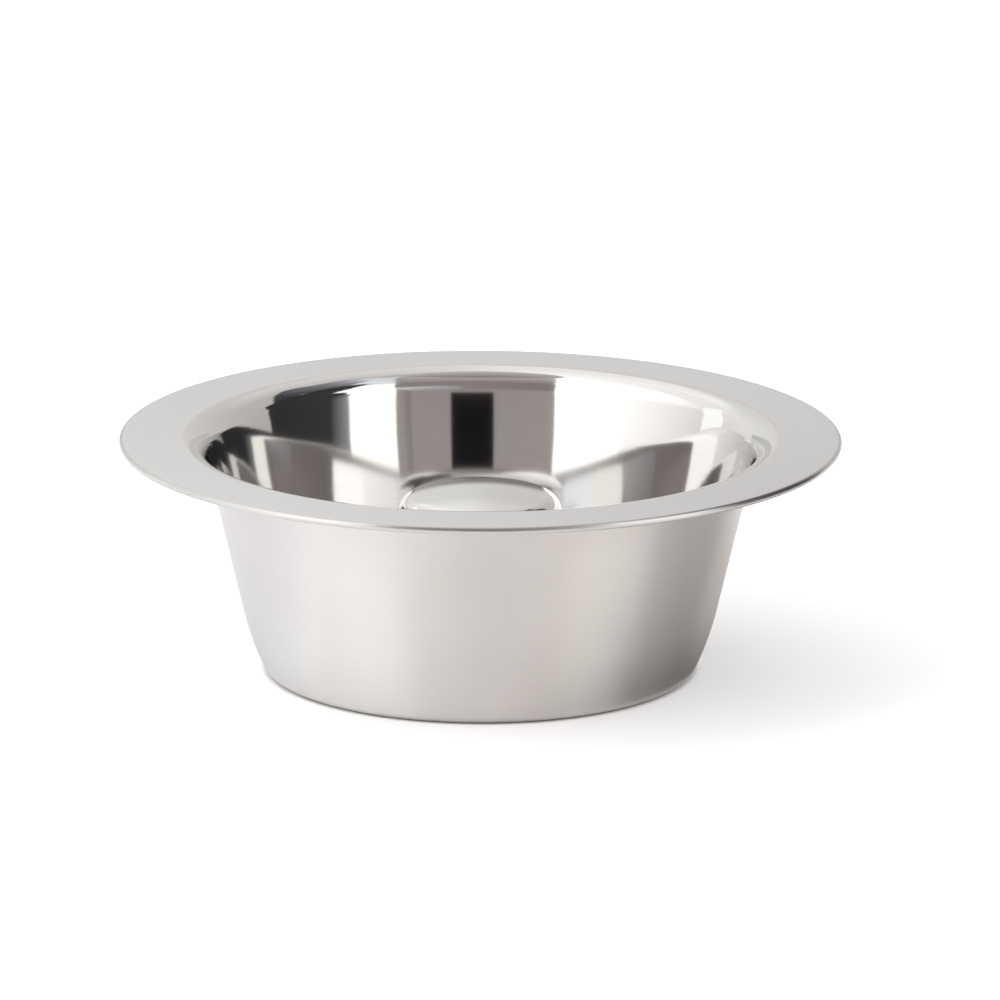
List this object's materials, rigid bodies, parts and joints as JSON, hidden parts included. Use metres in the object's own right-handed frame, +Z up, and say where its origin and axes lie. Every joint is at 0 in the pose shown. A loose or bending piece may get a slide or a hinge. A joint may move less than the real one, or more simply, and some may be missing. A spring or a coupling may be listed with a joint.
{
  "type": "slow feeder bowl",
  "caption": "Round drawn steel pet bowl with a wide hemmed flange and a tall domed island welded to its floor, which slows eating.",
  "frame": {"origin": "on the table under the middle of the base", "axes": "+Z up along the axis of the bowl; X and Y are any two directions across it"},
  "size_m": [0.216, 0.216, 0.0712],
  "materials": {
    "bowl_steel": "polished inside, satin on the flange and outside",
    "island_steel": "polished",
    "weld_steel": "dull, as welded"
  },
  "bodies": {
    "root": {"bowl_shell": "bowl_steel", "slow_feed_island": "island_steel", "spot_welds": "weld_steel"}
  },
  "joints": []
}
